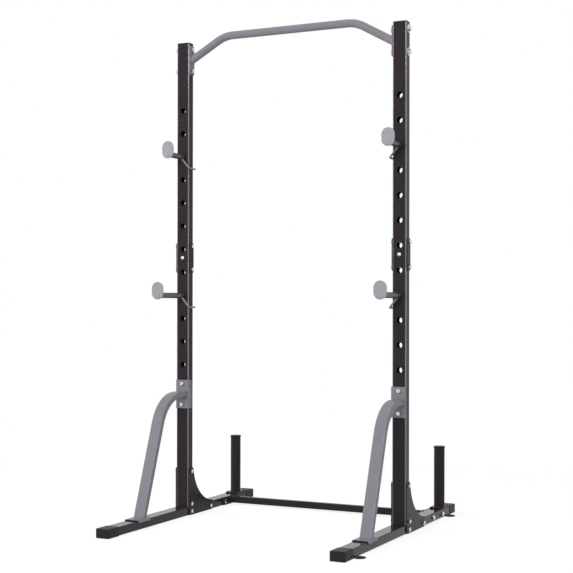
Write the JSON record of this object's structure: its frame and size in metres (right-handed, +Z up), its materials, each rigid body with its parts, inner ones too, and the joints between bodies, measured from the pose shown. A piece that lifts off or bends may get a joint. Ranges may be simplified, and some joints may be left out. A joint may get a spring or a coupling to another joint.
{
  "type": "power rack",
  "caption": "Open-fronted power rack with slotted uprights on long floor tubes, a cranked pull-up bar, raked braces, pull-out bar catches and spotters, and plate storage posts.",
  "frame": {"origin": "on the floor, midway between the uprights, in line with the front faces of the uprights, which is also the middle of the base tubes", "axes": "+X to the right of someone who faces the open front from the lifting side, +Y to the back where the plate posts stand, +Z up"},
  "size_m": [1.1488, 1.24, 2.1146],
  "materials": {
    "black_powder_coat": "gloss black powder coat on steel tube and plate",
    "silver_powder_coat": "silver-grey metallic powder coat on steel tube",
    "pale_powder_coat": "pale silver powder coat on steel rod and plate",
    "zinc_plate": "bright zinc-plated bolts and nuts",
    "black_plastic": "moulded black plastic and rubber"
  },
  "bodies": {
    "frame": {"base_tube_left": "black_powder_coat", "base_tube_right": "black_powder_coat", "lower_upright_left": "black_powder_coat", "lower_upright_right": "black_powder_coat", "upper_upright_left": "black_powder_coat", "upper_upright_right": "black_powder_coat", "splice_plate_inner_left": "black_powder_coat", "splice_plate_inner_right": "black_powder_coat", "splice_plate_outer_left": "black_powder_coat", "splice_plate_outer_right": "black_powder_coat", "gusset_inner_left": "black_powder_coat", "gusset_inner_right": "black_powder_coat", "gusset_outer_left": "black_powder_coat", "gusset_outer_right": "black_powder_coat", "plate_post_left": "black_powder_coat", "plate_post_right": "black_powder_coat", "crossbar": "black_powder_coat", "front_brace_left": "silver_powder_coat", "front_brace_right": "silver_powder_coat", "pull_up_bar": "silver_powder_coat", "foot_cap_front_left": "black_plastic", "foot_cap_front_right": "black_plastic", "foot_cap_rear_left": "black_plastic", "foot_cap_rear_right": "black_plastic", "upright_cap_left": "black_plastic", "upright_cap_right": "black_plastic", "brace_packing_left": "black_plastic", "brace_packing_right": "black_plastic", "post_cap_left": "black_plastic", "post_cap_right": "black_plastic", "splice_bolt_upper_left": "zinc_plate", "splice_bolt_upper_right": "zinc_plate", "splice_bolt_lower_left": "zinc_plate", "splice_bolt_lower_right": "zinc_plate", "splice_bolt_front_left": "zinc_plate", "splice_bolt_front_right": "zinc_plate", "gusset_bolt_top_left": "zinc_plate", "gusset_bolt_top_right": "zinc_plate", "gusset_bolt_middle_left": "zinc_plate", "gusset_bolt_middle_right": "zinc_plate", "gusset_bolt_foot_left": "zinc_plate", "gusset_bolt_foot_right": "zinc_plate", "gusset_bolt_rear_left": "zinc_plate", "gusset_bolt_rear_right": "zinc_plate", "crossbar_bolt_front_left": "zinc_plate", "crossbar_bolt_front_right": "zinc_plate", "crossbar_bolt_rear_left": "zinc_plate", "crossbar_bolt_rear_right": "zinc_plate", "pull_up_bolt_upper_left": "zinc_plate", "pull_up_bolt_upper_right": "zinc_plate", "pull_up_bolt_lower_left": "zinc_plate", "pull_up_bolt_lower_right": "zinc_plate", "bracket_bolt_upper_left": "zinc_plate", "bracket_bolt_upper_right": "zinc_plate", "bracket_bolt_lower_left": "zinc_plate", "bracket_bolt_lower_right": "zinc_plate"},
    "bar_catch_left": {"bar_catch_left": "pale_powder_coat"},
    "bar_catch_right": {"bar_catch_right": "pale_powder_coat"},
    "safety_spotter_left": {"safety_spotter_left": "pale_powder_coat"},
    "safety_spotter_right": {"safety_spotter_right": "pale_powder_coat"}
  },
  "joints": [
    {"name": "bar_catch_left_pull", "type": "slide", "parent": "frame", "child": "bar_catch_left", "axis": [0, -1, 0], "range_m": [0, 0.055]},
    {"name": "bar_catch_right_pull", "type": "slide", "parent": "frame", "child": "bar_catch_right", "axis": [0, -1, 0], "range_m": [0, 0.055]},
    {"name": "safety_spotter_left_pull", "type": "slide", "parent": "frame", "child": "safety_spotter_left", "axis": [0, -1, 0], "range_m": [0, 0.055]},
    {"name": "safety_spotter_right_pull", "type": "slide", "parent": "frame", "child": "safety_spotter_right", "axis": [0, -1, 0], "range_m": [0, 0.055]}
  ]
}
